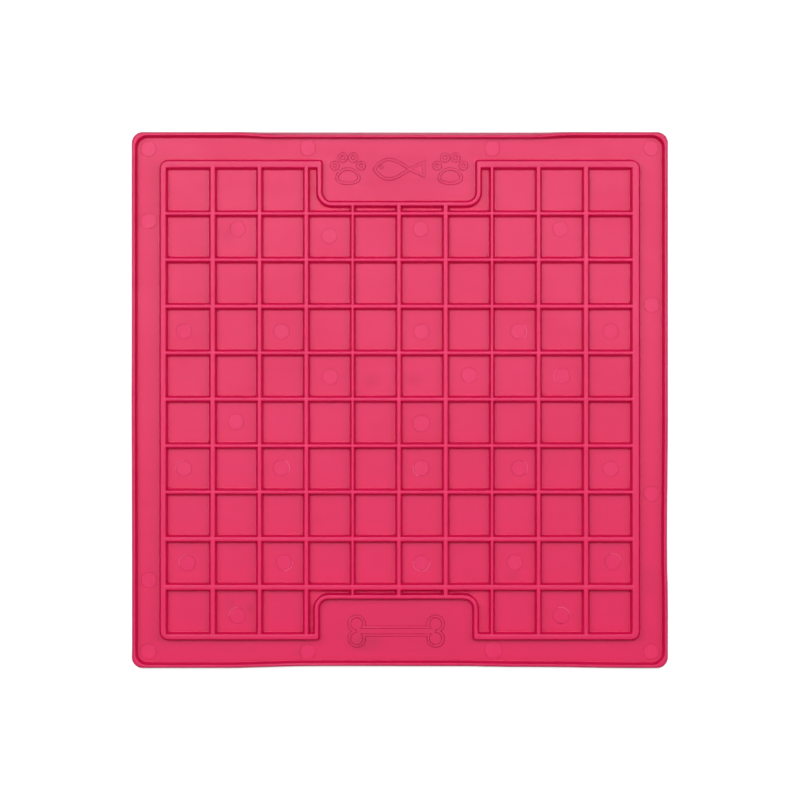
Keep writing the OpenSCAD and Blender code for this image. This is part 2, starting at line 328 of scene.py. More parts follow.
def foot_edge(edge):
    """The valley between a flank and the flange round it."""
    low = all(abs(v.co.z - FOOT_Z) < SKIN for v in edge.verts)
    return low and len(edge.link_faces) == 2 and steep(edge.link_faces[0]) != steep(edge.link_faces[1])


def bevel(size, steps, affect="EDGES"):
    """Rounds what is selected with an arc of this many steps."""
    bpy.ops.mesh.bevel(offset=size, segments=steps, profile=0.5, affect=affect, clamp_overlap=False)


def round_edges(crest_size=ROUNDING):
    """Rounds the crest's edges and fills the valleys at its foot."""
    pick("EDGE", upper_edge)
    bevel(crest_size, 4)
    pick("EDGE", foot_edge)
    bevel(FILLET, 2)


def sink_foot():
    """Takes the open outer edges of the flange down into the sheet."""
    pick("EDGE", lambda e: e.is_boundary)
    bpy.ops.mesh.extrude_region_move(TRANSFORM_OT_translate={"value": (0, 0, -SUNK)})


print("ridges are", RIDGE_H / MM, "mm high with", round(ROUNDING / MM, 2), "mm rounding")

# %% [markdown]
# The rib is the mat's repeated part. One is modelled from a flat strip: an inset leaves a narrow
# flange for the fillet to run out on, a second inset with depth raises the ridge, and the foot is
# sunk a little into the sheet so that no light leaks under it. It starts longer than needed and its
# sloping ends are cut off later, where the frame swallows them.

# %% Model one rib
RIB_CREST = ROW_CREST[4]
RIB_REACH = 95 * MM
strip_half = RIB_CREST / 2 + LEAN + FLANGE
rib = flat_sheet("rib_master", -RIB_REACH, RIB_REACH, -strip_half, strip_half, FOOT_Z)
bpy.ops.mesh.inset(thickness=FLANGE)
raise_ridge()
round_edges()
sink_foot()
bpy.ops.mesh.edge_face_add()
bpy.ops.object.mode_set(mode="OBJECT")
print("rib section:", len(rib.data.polygons), "faces; width in mm:", round(rib.dimensions.y / MM, 3))

# %% [markdown]
# The rib is copied nine times for the rows and nine times for the columns. Each copy gets its own
# crest width, because the mould was cut by hand-guided tools and no two ribs are alike, and it is
# then moved to its place. Only the two sides move apart, so the roundings keep their shape.

# %% Copy the rib and fit each copy


def copy_of(master, name):
    """A copy with a mesh of its own, active and in edit mode."""
    take_up(master)
    bpy.ops.object.duplicate(linked=False)
    piece = bpy.context.active_object
    piece.name = name
    piece.data.name = name
    bpy.ops.object.mode_set(mode="EDIT")
    return piece


def move(x=0, y=0, z=0):
    """Moves what is selected."""
    bpy.ops.transform.translate(value=(x, y, z))


def cut(place, direction):
    """Cuts the whole piece with a plane, drops the side the direction points to and caps it."""
    take_all()
    bpy.ops.mesh.bisect(plane_co=place, plane_no=direction, use_fill=True, clear_outer=True)


def widen(crest):
    """Moves the two long sides of a rib along X apart to give it this crest."""
    step = (crest - RIB_CREST) / 2
    pick("VERT", lambda v: v.co.y > 0)
    move(y=step)
    pick("VERT", lambda v: v.co.y < 0)
    move(y=-step)


def crest_edge(half_frame, foot):
    """Where a bar's flat crest ends on its inner side, measured from the middle of the mat."""
    return half_frame - foot + LEAN + FRAME_ROUNDING


ROW_LEFT = -crest_edge(FRAME_HALF, LEFT_FOOT)
ROW_RIGHT = crest_edge(FRAME_HALF, RIGHT_FOOT)
row_pieces = []
for i in range(9):
    row = copy_of(rib, f"row_ridge_{i + 1}")
    widen(ROW_CREST[i])
    take_all()
    move(y=ROW_Y[i])
    cut((ROW_LEFT, 0, 0), (-1, 0, 0))
    cut((ROW_RIGHT, 0, 0), (1, 0, 0))
    bpy.ops.object.mode_set(mode="OBJECT")
    row_pieces.append(row)
print("rows run from", round(ROW_LEFT / MM, 2), "to", round(ROW_RIGHT / MM, 2), "mm")

# %% [markdown]
# A column is the same rib turned by a quarter. The rows run through, and a column stops at each of
# them, so it is cut into short lengths that end at the flat part of each row's crest. There the two
# crests meet in one level and nothing lies twice in the same place.

# %% Columns between the rows
FAR_END = crest_edge(FRAME_HALF, FAR_FOOT)
NEAR_END = -crest_edge(FRAME_HALF, NEAR_FOOT)
WALL_EDGE = WALL_FOOT / 2 - LEAN - FRAME_ROUNDING
column_pieces = []


def close_holes():
    """Puts faces into all the holes of the mesh in edit mode."""
    pick("EDGE", lambda e: e.is_boundary)
    bpy.ops.mesh.fill_holes(sides=0)


def drop_between(y0, y1):
    """Takes out a stretch of the column between two planes and caps both cuts."""
    for y in (y0, y1):
        take_all()
        bpy.ops.mesh.bisect(plane_co=(0, y, 0), plane_no=(0, 1, 0))
    pick("FACE", lambda f: y0 < f.calc_center_median().y < y1)
    bpy.ops.mesh.delete(type="FACE")
    close_holes()


for i in range(9):
    column = copy_of(rib, f"column_ridge_{i + 1}")
    widen(COLUMN_CREST[i])
    take_all()
    bpy.ops.transform.rotate(value=math.radians(90), orient_axis="Z", center_override=(0, 0, 0))
    move(x=COLUMN_X[i])
    beside_panels = i < 3 or i > 5
    cut((0, FAR_END if beside_panels else FAR_BAR_Y - WALL_EDGE, 0), (0, 1, 0))
    cut((0, NEAR_END if beside_panels else NEAR_BAR_Y + WALL_EDGE, 0), (0, -1, 0))
    for y, crest in zip(ROW_Y, ROW_CREST):
        flat_half = crest / 2 - ROUNDING
        drop_between(y - flat_half, y + flat_half)
    bpy.ops.object.mode_set(mode="OBJECT")
    column_pieces.append(column)
print("a column has", len(column_pieces[0].data.polygons), "faces")

# %% [markdown]
# Every finished piece is settled in the same way: its normals are turned outwards, its shading is
# smoothed by angle, it rides on the model's one body, and the model's solids that it stands for are
# hidden. A closed mesh has no open edges, so their number is printed with every piece.

# %% Settle a finished piece


def boundary_count(piece):
    """How many edges don't lie between two faces; a closed piece has none."""
    mesh = bmesh.new()
    mesh.from_mesh(piece.data)
    count = sum(1 for e in mesh.edges if len(e.link_faces) != 2)
    mesh.free()
    return count


def settle(piece, stands_for, smooth_deg=35):
    """Leaves edit mode, smooths the shading, hangs the piece on the root body and hides its nodes."""
    if bpy.context.mode == "EDIT_MESH":
        take_all()
        bpy.ops.mesh.normals_make_consistent(inside=False)
        bpy.ops.object.mode_set(mode="OBJECT")
    take_up(piece)
    bpy.ops.mesh.customdata_custom_splitnormals_clear()
    bpy.ops.object.shade_smooth_by_angle(angle=math.radians(smooth_deg))
    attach(piece, "root")
    if stands_for:
        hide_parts(*stands_for)
    print(piece.name, len(piece.data.polygons), "faces,", boundary_count(piece), "open edges")


print("the master rib has", boundary_count(rib), "open edges")

# %% [markdown]
# Soft rubber never comes out of the mould quite true. The crests waver by a few thousandths of a
# millimetre, just enough to break up their highlights along the length; more would show as a wobble
# of the dark lines beside them. The long faces are divided every three millimetres or so, and the
# crest is then shaken by a seeded random move, with another seed on each rib.

# %% Let the crests waver
STATION = 3.0 * MM
WAVER = 0.004 * MM
LENGTH_STEP = 0.5 * MM
LENGTH_SLACK = 0.26 * MM
LONG_EDGE = 8 * MM
STRAIGHT = 0.1 * MM


def divide_along(axis, station=STATION, shortest=LONG_EDGE):
    """Divides the long edges that run along an axis into stations."""
    def long_run(edge):
        a, b = (v.co for v in edge.verts)
        return abs(b[axis] - a[axis]) > shortest and abs(b[1 - axis] - a[1 - axis]) < STRAIGHT
    mesh = bmesh.from_edit_mesh(bpy.context.active_object.data)
    lengths = sorted({round(e.calc_length() / LENGTH_STEP) for e in mesh.edges if long_run(e)})
    for length in lengths:
        size = length * LENGTH_STEP
        pick("EDGE", lambda e: long_run(e) and abs(e.calc_length() - size) < LENGTH_SLACK)
        bpy.ops.mesh.subdivide(number_cuts=max(1, round(size / station) - 1))


def divide_both(station=STATION, shortest=LONG_EDGE):
    """Divides the edges that run along X, and then those along Y."""
    for axis in (0, 1):
        divide_along(axis, station, shortest)


def waver(seed, amount=WAVER):
    """Shakes the points of the crest; the seed makes it the same each time."""
    pick("VERT", lambda v: v.co.z > CREST_Z - 0.5 * ROUNDING)
    bpy.ops.transform.vertex_random(offset=amount, uniform=0, normal=0, seed=seed)


for axis, group in ((0, row_pieces), (1, column_pieces)):
    for i, piece in enumerate(group):
        take_up(piece, edit=True)
        divide_along(axis)
        waver(seed=10 * axis + i)
        settle(piece, [("row" if axis == 0 else "column") + f"_rib_{i + 1}"])
bpy.data.objects.remove(rib)

# %% [markdown]
# The frame and the two panel walls are one ridge that runs round the grid without a break. Sweeping
# a section along the path would need a joint at each corner. A footprint is simpler: a plane is cut
# with bisect, the two panels are taken out of it, and its corners are rounded with a vertex bevel,
# each at the radius of the real one.

# %% Footprint of the frame
FLAT_ANGLE = math.radians(1)
outer = FRAME_HALF + FLANGE
frame_ridge = flat_sheet("frame_ridge", -outer, outer, -outer, outer, FOOT_Z)
wall_reach = WALL_FOOT / 2 + FLANGE
far_x = (PANEL_LEFT + wall_reach, PANEL_RIGHT - wall_reach)
near_x = (far_x[0] + NEAR_SHIFT, far_x[1] + NEAR_SHIFT)
far_y = FAR_BAR_Y + wall_reach
near_y = NEAR_BAR_Y - wall_reach
for x in far_x + near_x:
    take_all()
    bpy.ops.mesh.bisect(plane_co=(x, 0, 0), plane_no=(1, 0, 0))
for y in (far_y, near_y):
    take_all()
    bpy.ops.mesh.bisect(plane_co=(0, y, 0), plane_no=(0, 1, 0))


def in_panel(face):
    """A face of one of the two panels, which the frame leaves free."""
    c = face.calc_center_median()
    far = c.y > far_y and far_x[0] < c.x < far_x[1]
    near = c.y < near_y and near_x[0] < c.x < near_x[1]
    return far or near


pick("FACE", in_panel)
bpy.ops.mesh.delete(type="FACE")
take_all()
bpy.ops.mesh.dissolve_limited(angle_limit=FLAT_ANGLE)


def near_to(places, reach):
    """A test for points that lie within reach of one of the places."""
    return lambda v: any((v.co.xy - Vector(p)).length < reach for p in places)


corners = [(sx * outer, sy * outer) for sx in (-1, 1) for sy in (-1, 1)]
shoulders = [(x, outer) for x in far_x] + [(x, -outer) for x in near_x]
bends = [(x, far_y) for x in far_x] + [(x, near_y) for x in near_x]
for places, radius, steps in ((corners, CORNER_R + FLANGE, 8), (shoulders, SHOULDER_R + FLANGE, 6),
                              (bends, BEND_R - wall_reach, 8)):
    pick("VERT", near_to(places, 2 * CLOSE))
    bevel(radius, steps, affect="VERTICES")
print("footprint corners:", len(bmesh.from_edit_mesh(frame_ridge.data).verts))

# %% [markdown]
# Two insets turn the footprint into the flange and the ridge's foot. The bars of the real frame
# differ in width, so the inner loop is moved side by side to the width of each. Where the frame
# turns into a panel wall, the inner loop folds over itself, and there its points are merged into
# one sharp corner, as the mould has it.

# %% Width of each bar
FOLD_REACH = 1.4 * MM


def pick_inner(test):
    """Selects the points of the grid's own outline, the inner loop, that pass the test."""
    mesh = bmesh.from_edit_mesh(frame_ridge.data)
    loop = set(max(mesh.faces, key=lambda f: f.calc_area()).verts)
    return pick("VERT", lambda v: v in loop and test(v))


bpy.ops.mesh.select_mode(type="FACE")
take_all()
bpy.ops.mesh.inset(thickness=FLANGE)
bpy.ops.mesh.inset(thickness=WALL_FOOT)
inner = FRAME_HALF - WALL_FOOT
wall_half = WALL_FOOT / 2
inner_corners = [(sx * inner, sy * inner) for sx in (-1, 1) for sy in (-1, 1)]
inner_shoulders = [(PANEL_LEFT - wall_half, inner), (PANEL_RIGHT + wall_half, inner),
                   (PANEL_LEFT - wall_half + NEAR_SHIFT, -inner),
                   (PANEL_RIGHT + wall_half + NEAR_SHIFT, -inner)]
for spot in inner_corners + inner_shoulders:
    pick_inner(near_to([spot], FOLD_REACH))
    bpy.ops.mesh.merge(type="CENTER")
    mesh = bmesh.from_edit_mesh(frame_ridge.data)
    merged = [v for v in mesh.verts if v.select][0]
    move(x=spot[0] - merged.co.x, y=spot[1] - merged.co.y)
for axis, side, foot in ((0, -1, LEFT_FOOT), (0, 1, RIGHT_FOOT), (1, 1, FAR_FOOT), (1, -1, NEAR_FOOT)):
    moved = pick_inner(lambda v: abs(side * v.co[axis] - inner) < CLOSE)
    step = [0, 0]
    step[axis] = side * (WALL_FOOT - foot)
    move(*step)
    print("bar of", round(foot / MM, 2), "mm, points moved:", moved)

# %% [markdown]
# The ring of faces between the two foot lines is raised like a rib. The flat middle is inset once
# more for the inner flange and then taken out, because the sheet itself is the floor of the cells.

# %% Raise the frame
WIDE_AREA = 0.01


def wide(face):
    """The one large face inside a ring; its area is given in square metres."""
    return face.calc_area() > WIDE_AREA


pick("FACE", wide)
bpy.ops.mesh.select_more()
mesh = bmesh.from_edit_mesh(frame_ridge.data)
max(mesh.faces, key=lambda f: f.calc_area()).select_set(False)
mesh.select_flush_mode()
bmesh.update_edit_mesh(frame_ridge.data)
raise_ridge()
pick("FACE", wide)
bpy.ops.mesh.inset(thickness=FLANGE)
bpy.ops.mesh.delete(type="FACE")
round_edges(FRAME_ROUNDING)
sink_foot()
bpy.ops.mesh.bridge_edge_loops()
take_all()
bpy.ops.mesh.normals_make_consistent(inside=False)
print("frame:", len(bmesh.from_edit_mesh(frame_ridge.data).faces), "faces")

# %% [markdown]
# The walls round the panels are parts of their own in the model, so the ring is cut just below the
# frame's inner foot, and each wall becomes its own closed piece. The cut faces lie against each
# other and don't show.

# %% Part the panel walls from the frame
WALL_CUT = FRAME_HALF - FAR_FOOT - 1.2 * MM
PANEL_HALF = 36 * MM
PANEL_FROM = 60 * MM
for sense, name in ((1, "far_panel_wall"), (-1, "near_panel_wall")):
    bpy.context.view_layer.objects.active = frame_ridge
    pick("FACE", lambda f: abs(f.calc_center_median().x) < PANEL_HALF
         and sense * f.calc_center_median().y > PANEL_FROM)
    bpy.ops.mesh.bisect(plane_co=(0, sense * WALL_CUT, 0), plane_no=(0, 1, 0))
    pick("FACE", lambda f: abs(f.calc_center_median().x) < PANEL_HALF
         and PANEL_FROM < sense * f.calc_center_median().y < WALL_CUT)
    bpy.ops.mesh.separate(type="SELECTED")
    new = [o for o in bpy.context.selected_objects if o is not frame_ridge][-1]
    new.name = name
    new.data.name = name
close_holes()
divide_both()
waver(seed=40)
settle(frame_ridge, ["frame_left", "frame_right", "frame_far", "frame_near", "frame_corners",
                     "panel_shoulders"])
for seed, end in ((41, "far"), (42, "near")):
    wall = bpy.data.objects[end + "_panel_wall"]
    take_up(wall, edit=True)
    close_holes()
    divide_both()
    waver(seed=seed)
    settle(wall, [f"{end}_panel_{part}" for part in ("sides", "bends", "bar")])

# %% [markdown]
# The rim is a ring too. Its outer face leans less and runs down flush with the sheet's edge, and its
# inner corners are rounder than an inset leaves them, so they are opened up before the rim is raised.

# %% Raise the rim
MAT_HALF = 100 * MM
MAT_R = 4.2 * MM
RIM_FOOT = 2.22 * MM
RIM_INNER_R = 3.9 * MM
RIM_OUTER_LEAN = 0.65 * MM
RIM_ROUNDING = 0.3 * MM
RIM_CREST_MIDDLE = 98.52 * MM
RIM_STATION = 4 * MM
CORNER_STEPS = 10
CORNER_SLACK = 0.2 * MM
HALF_UP = SHEET_TOP + RIDGE_H / 2


def rounded_square(name, half, z):
    """A flat square with the mat's round corners, selected all over."""
    piece = flat_sheet(name, -half, half, -half, half, z)
    bpy.ops.mesh.select_mode(type="VERT")
    take_all()
    bevel(MAT_R, CORNER_STEPS, affect="VERTICES")
    bpy.ops.mesh.select_mode(type="FACE")
    take_all()
    return piece


rim = rounded_square("rim_ridge", MAT_HALF, FOOT_Z)
bpy.ops.mesh.inset(thickness=RIM_FOOT)
rim_inner = MAT_HALF - RIM_FOOT
opened = RIM_INNER_R / (MAT_R - RIM_FOOT)
corner_from = MAT_HALF - MAT_R - CORNER_SLACK
for sx in (-1, 1):
    for sy in (-1, 1):
        pick("VERT", lambda v: max(abs(v.co.x), abs(v.co.y)) < rim_inner + SKIN
             and min(sx * v.co.x, sy * v.co.y) > corner_from)
        bpy.ops.transform.resize(value=(opened, opened, 1),
                                 center_override=(sx * rim_inner, sy * rim_inner, FOOT_Z))
pick("FACE", lambda f: not wide(f))
raise_ridge()
pick("VERT", lambda v: v.co.z > HALF_UP and max(abs(v.co.x), abs(v.co.y)) > RIM_CREST_MIDDLE)
shrink = (MAT_HALF - RIM_OUTER_LEAN) / (MAT_HALF - LEAN)
bpy.ops.transform.resize(value=(shrink, shrink, 1), center_override=(0, 0, 0))
pick("FACE", wide)
bpy.ops.mesh.inset(thickness=FLANGE)
bpy.ops.mesh.delete(type="FACE")
round_edges(RIM_ROUNDING)
sink_foot()
bpy.ops.mesh.bridge_edge_loops()
divide_both(station=RIM_STATION, shortest=MAT_HALF)
print("rim:", len(bmesh.from_edit_mesh(rim.data).faces), "faces")

# %% [markdown]
# On the photographed mat the edge isn't straight: the far side's crest leans in along its middle,
# and the near side is drawn in by up to three quarters of a millimetre. The long sides are divided,
# and each station is moved by the amount that was measured there.

# %% Bow the sides of the rim
# Place along the side and inward move, both in mm
FOOT_BOWS = {
    "far": [(-60, 0), (-50, 0.15), (52, 0.2), (62, 0)],
    "near": [(-62, 0.02), (-56, 0.22), (-48, 0.4), (-41, 0.67), (-33, 0.74), (26, 0.72), (34, 0.54),
             (41, 0.44), (56, 0.38), (64, 0.31), (71, 0.17), (79, 0.05), (88, 0)],
    "left": [(-95, 0.12), (-60, 0.1), (-30, 0.02), (0, -0.06), (20, 0), (95, 0)],
    "right": [(-80, 0), (-70, 0.06), (-63, 0.27), (-52, 0.32), (-41, 0.28), (-26, 0.13), (-12, 0),
              (95, 0.02)],
}
CREST_BOWS = dict(FOOT_BOWS)
CREST_BOWS["far"] = [(-60, 0), (-56, 0.2), (-49, 0.7), (52, 0.78), (58, 0.25), (63, 0)]
SIDES = {"far": (1, 1), "near": (1, -1), "left": (0, -1), "right": (0, 1)}
STATION_STEP = 0.1 * MM
LEAST_MOVE = 0.005 * MM
CORNER_CLEAR = 1 * MM
RIM_DEPTH = 4 * MM
RIM_WAVER = 0.005 * MM


def bow_at(bow, s):
    """The inward move at a place along the side, in metres, between the measured points."""
    s = s / MM
    if s <= bow[0][0]:
        return bow[0][1] * MM
    for (a, u), (b, v) in zip(bow, bow[1:]):
        if a <= s <= b:
            t = (s - a) / (b - a)
            t = t * t * (3 - 2 * t)
            return (u + t * (v - u)) * MM
    return bow[-1][1] * MM


def bow_sides(foot_bows, crest_bows, depth):
    """Moves each station of each side inwards, the crest by its own amount."""
    for side, (axis, sense) in SIDES.items():
        def on_side(v):
            straight_part = abs(v.co[1 - axis]) < MAT_HALF - MAT_R - CORNER_CLEAR
            return sense * v.co[axis] > MAT_HALF - depth and straight_part
        mesh = bmesh.from_edit_mesh(bpy.context.active_object.data)
        stations = sorted({round(v.co[1 - axis] / STATION_STEP) for v in mesh.verts if on_side(v)})
        for s in stations:
            for high, bows in ((False, foot_bows), (True, crest_bows)):
                step = bow_at(bows[side], s * STATION_STEP)
                if abs(step) < LEAST_MOVE:
                    continue
                pick("VERT", lambda v: on_side(v) and round(v.co[1 - axis] / STATION_STEP) == s
                     and (v.co.z > HALF_UP) == high)
                inward = [0, 0]
                inward[axis] = -sense * step
                move(*inward)


bow_sides(FOOT_BOWS, CREST_BOWS, depth=RIM_DEPTH)
waver(seed=50, amount=RIM_WAVER)
settle(rim, ["rim_left", "rim_right", "rim_far", "rim_near", "rim_corners"])

# %% [markdown]
# The sheet is the floor of every cell and the mat's underside. Its lower edge is rounded so that it
# doesn't cut the hand. In the middle of the underside is the gate mark, where the rubber was fed
# into the mould: a shallow dish with a short nub. The dish's circle and the sheet's outline are
# joined by a bridge, so the underside is one clean surface round it.

# %% Model the sheet
EDGE_STEP = 0.03 * MM
EDGE_DEPTH = 1 * MM
UNDER_ROUND = 0.5 * MM
GATE_R = 3.0 * MM
GATE_SIDES = 32
# How much the gate mark's ring shrinks and how far it rises in mm, step by step
GATE_STEPS = ((0.9, 0.2), (0.45, 0.1), (0.3, -0.2))


def grow(size):
    """Scales what is selected about the mat's middle."""
    bpy.ops.transform.resize(value=(size, size, 1), center_override=(0, 0, 0))


sheet = rounded_square("sheet_moulding", MAT_HALF - EDGE_STEP, 0)
bpy.ops.mesh.extrude_region_move(TRANSFORM_OT_translate={"value": (0, 0, SHEET_TOP)})
pick("EDGE", lambda e: all(v.co.z < CLOSE for v in e.verts))
bevel(UNDER_ROUND, 3)
pick("FACE", lambda f: f.calc_center_median().z < CLOSE and wide(f))
bpy.ops.mesh.delete(type="ONLY_FACE")
bpy.ops.mesh.primitive_circle_add(vertices=GATE_SIDES, radius=GATE_R, location=(0, 0, 0))
pick("EDGE", lambda e: all(v.co.z < SKIN for v in e.verts) and len(e.link_faces) < 2)
bpy.ops.mesh.bridge_edge_loops()
pick("EDGE", lambda e: e.is_boundary)
for size, rise in GATE_STEPS:
    bpy.ops.mesh.extrude_region_move(TRANSFORM_OT_translate={"value": (0, 0, rise * MM)})
    grow(size)
bpy.ops.mesh.edge_face_add()
divide_both(station=RIM_STATION, shortest=MAT_HALF)
bow_sides(FOOT_BOWS, FOOT_BOWS, depth=EDGE_DEPTH)
take_all()
bpy.ops.mesh.normals_make_consistent(inside=False)
bpy.ops.object.mode_set(mode="OBJECT")
print("sheet before the pin marks:", len(sheet.data.polygons), "faces")

# %% [markdown]
# The ejector pins that push the rubber out of the mould leave round marks on the cells' floors and
# on the border: a disc that lies a hair proud or sunk and never quite level, inside a fine dark
# line where the pin slid in its hole. So the sheet gets a shallow round pocket at each place, cut
# by one boolean with all the cutters joined, and a slightly smaller disc goes into each pocket.
# The gap between them is the fine line.

# %% Pockets for the pin marks
PIN_R = 2.84 * MM
PIN_GAP = 0.14 * MM
PIN_SIDES = 40
POCKET = 0.3 * MM
# Place in mm, size, the way that the disc tilts and how far it tilts, both in degrees
PIN_MARKS = [
    (-93.7, 93.65, 1, 270, 0.6), (93.7, 93.95, 1, 290, 0.3), (-93.7, -93.7, 1, 270, 0.4),
    (93.7, -93.7, 1, 250, 0.6), (-34.3, 94.05, 1, 270, 1.0), (34.4, 93.8, 1, 250, 0.2),
    (-34.4, -94, 1, 90, 0.1), (34.9, -93.3, 1.15, 60, 0.2), (-93.6, 66.8, 1, 290, 0.9),
    (93.9, 35.5, 1, 270, 0.6), (93.9, -35, 1, 100, 0.3), (-93.6, -67.1, 1, 100, 0.5),
    (-60.4, 63.7, 1, 90, 1.2), (-26.3, 61.2, 1, 285, 1.5), (7.8, 63.8, 1, 270, 1.3),
    (59.85, 63.8, 1, 90, 0.2), (-80.45, 25.65, 1, 80, 0.9), (-44.1, 25.6, 1.02, 260, 1.1),
    (8.05, 25.5, 1, 255, 0.9), (44.15, 25.65, 1, 240, 0.7), (78.6, 25.6, 1, 60, 0.7),
    (-25.95, 8.75, 1, 270, 0.6), (25.85, 9.25, 1, 250, 0.8), (60.55, 9, 1, 200, 0.3),
    (-61.05, -8.05, 1, 290, 0.8), (8, -8.7, 1.1, 280, 0.6), (-80.55, -25.5, 1, 300, 0.5),
    (-44.3, -25.35, 1.02, 300, 0.2), (8, -25.35, 1, 240, 1.2), (44.5, -25.4, 1, 80, 0.6),
    (78.6, -25.6, 1, 260, 0.4), (-79.2, -60.8, 1.02, 60, 0.9), (-43.15, -60.5, 1, 100, 0.3),
    (8, -60.7, 1, 270, 0.2), (42.9, -60.5, 1, 270, 0.7), (79.4, -60.35, 1, 90, 0.4),
    (-60.5, -80.35, 1.02, 110, 0.7), (60.1, -80.4, 1.02, 80, 0.6)]


def join_all(group, name):
    """Joins the pieces of a group into one."""
    bpy.ops.object.select_all(action="DESELECT")
    for piece in group:
        piece.select_set(True)
    bpy.context.view_layer.objects.active = group[0]
    bpy.ops.object.join()
    group[0].name = name
    group[0].data.name = name
    return group[0]


def carve(piece, cutter):
    """Takes the cutter's volume out of the piece and throws the cutter away."""
    take_up(piece)
    bpy.ops.object.modifier_add(type="BOOLEAN")
    pocket = piece.modifiers[-1]
    pocket.operation = "DIFFERENCE"
    pocket.solver = "EXACT"
    pocket.object = cutter
    bpy.ops.object.modifier_apply(modifier=pocket.name)
    bpy.data.objects.remove(cutter)


def upright_disc(name, radius, bottom, top):
    """A short cylinder about the origin's Z axis."""
    bpy.ops.object.select_all(action="DESELECT")
    bpy.ops.mesh.primitive_cylinder_add(vertices=PIN_SIDES, radius=radius, depth=top - bottom,
                                        location=(0, 0, (top + bottom) / 2))
    disc = bpy.context.active_object
    disc.name = name
    bpy.ops.object.transform_apply(location=True)
    return disc


def set_at(x, y, size):
    """Scales the copy in edit mode, moves it to its place in mm and leaves edit mode."""
    grow(size)
    move(x * MM, y * MM)
    bpy.ops.object.mode_set(mode="OBJECT")


cutter = upright_disc("pin_cutter", PIN_R + PIN_GAP, SHEET_TOP - POCKET, SHEET_TOP + MM)
cutters = []
for x, y, size, way, tilt in PIN_MARKS:
    cutters.append(copy_of(cutter, "pocket_cutter"))
    take_all()
    set_at(x, y, size)
bpy.data.objects.remove(cutter)
carve(sheet, join_all(cutters, "pocket_cutters"))
print("pockets cut:", len(PIN_MARKS), "open edges:", boundary_count(sheet))

# %% [markdown]
# The discs are copies of one short cylinder with a rounded upper edge. Each is scaled, tilted by up
# to a degree and a half about the middle of its top, and set into its pocket. The tilt is what lets
# one side of a mark catch the light and the other side lose it.

# %% Pin marks in their pockets
PIN_LIFT = 0.02 * MM
PIN_ROUND = 0.05 * MM
pin_master = upright_disc("pin_master", PIN_R, SHEET_TOP - POCKET + PIN_LIFT, SHEET_TOP)
bpy.ops.object.mode_set(mode="EDIT")
pick("EDGE", lambda e: all(v.co.z > SHEET_TOP - SKIN for v in e.verts))
bevel(PIN_ROUND, 2)
bpy.ops.object.mode_set(mode="OBJECT")
pins = []
middle = (0, 0, SHEET_TOP)
for k, (x, y, size, way, tilt) in enumerate(PIN_MARKS):
    pins.append(copy_of(pin_master, f"pin_mark_{k + 1}"))
    take_all()
    grow(size)
    for axis, part in (("X", -math.sin(math.radians(way))), ("Y", math.cos(math.radians(way)))):
        bpy.ops.transform.rotate(value=math.radians(tilt) * part, orient_axis=axis,
                                 center_override=middle)
    move(x * MM, y * MM)
    bpy.ops.object.mode_set(mode="OBJECT")
bpy.data.objects.remove(pin_master)
print("pin marks:", len(pins))

# %% [markdown]
# Where a pin was a loose fit in its hole, the rubber crept up beside it and left a thin crescent of
# flash. Its light look is a painted highlight, in a much lighter pink than the floor's. One crescent
# is spun from a small circle and thinned at both ends, and its copies are turned to the sides where
# the real marks have it.

# %% Crescents of flash
FLASH_R = 0.14 * MM
FLASH_ARC = 100
FLASH_SUNK = 0.02 * MM
TIP_SUNK = 0.05 * MM
TIP_SIZE = 0.3
FLASH_SIDES, FLASH_STEPS = 10, 14
# Number of the pin mark, counted from nought, and the side of it in degrees
FLASH_AT = [(19, 0), (23, 175), (26, 140), (27, 15), (28, 205), (29, 10), (31, 150), (32, 320),
            (33, 215), (33, 315), (35, 60), (36, 135), (37, 60)]
bpy.ops.object.select_all(action="DESELECT")
ring_x = PIN_R + PIN_GAP + 0.8 * FLASH_R
bpy.ops.mesh.primitive_circle_add(vertices=FLASH_SIDES, radius=FLASH_R,
                                  rotation=(math.radians(90), 0, 0),
                                  location=(ring_x, 0, SHEET_TOP - FLASH_SUNK))
flash = bpy.context.active_object
bpy.ops.object.transform_apply(location=True, rotation=True)
bpy.ops.object.mode_set(mode="EDIT")
take_all()
bpy.ops.mesh.spin(steps=FLASH_STEPS, angle=math.radians(FLASH_ARC), center=(0, 0, 0), axis=(0, 0, 1))
close_holes()
mesh = bmesh.from_edit_mesh(flash.data)
turns = sorted({round(math.degrees(math.atan2(v.co.y, v.co.x))) for v in mesh.verts})
for end in (turns[0], turns[-1]):
    way = math.radians(end)
    tip = (ring_x * math.cos(way), ring_x * math.sin(way), SHEET_TOP - TIP_SUNK)
    pick("VERT", lambda v: (v.co - Vector(tip)).length < 2 * FLASH_R)
    bpy.ops.transform.resize(value=(TIP_SIZE, TIP_SIZE, TIP_SIZE), center_override=tip)
bpy.ops.object.mode_set(mode="OBJECT")
middle_of_arc = (turns[0] + turns[-1]) / 2
crescents = []
for k, way in FLASH_AT:
    x, y, size = PIN_MARKS[k][:3]
    crescents.append(copy_of(flash, "flash"))
    take_all()
    bpy.ops.transform.rotate(value=math.radians(middle_of_arc - way), orient_axis="Z",
                             center_override=(0, 0, 0))
    set_at(x, y, size)
bpy.data.objects.remove(flash)
pin_marks = join_all(pins, "ejector_marks")
settle(pin_marks, [], smooth_deg=15)
flash_marks = join_all(crescents, "flash_crescents")
settle(flash_marks, [])

# %% [markdown]
# The two panels carry plain raised outlines: a fish between two paws on the far panel and a bone on
# the near one. The model already has their exact outlines, so a copy of each is merged. The same
# copy, fattened and let down a little, cuts a fine moat round the line into the sheet, as an
# engraver's cutter leaves it, and that gives the line its thin dark edges. Then the copy's flat
# faces are dissolved and its upper edges rounded, since no moulded line has sharp ones.

# %% Raised outlines on the panels
MOTIF_ROUND = 0.1 * MM
MOTIF_SUNK = 0.1 * MM
MOAT = 0.2 * MM
MOAT_DEEPER = 0.3 * MM
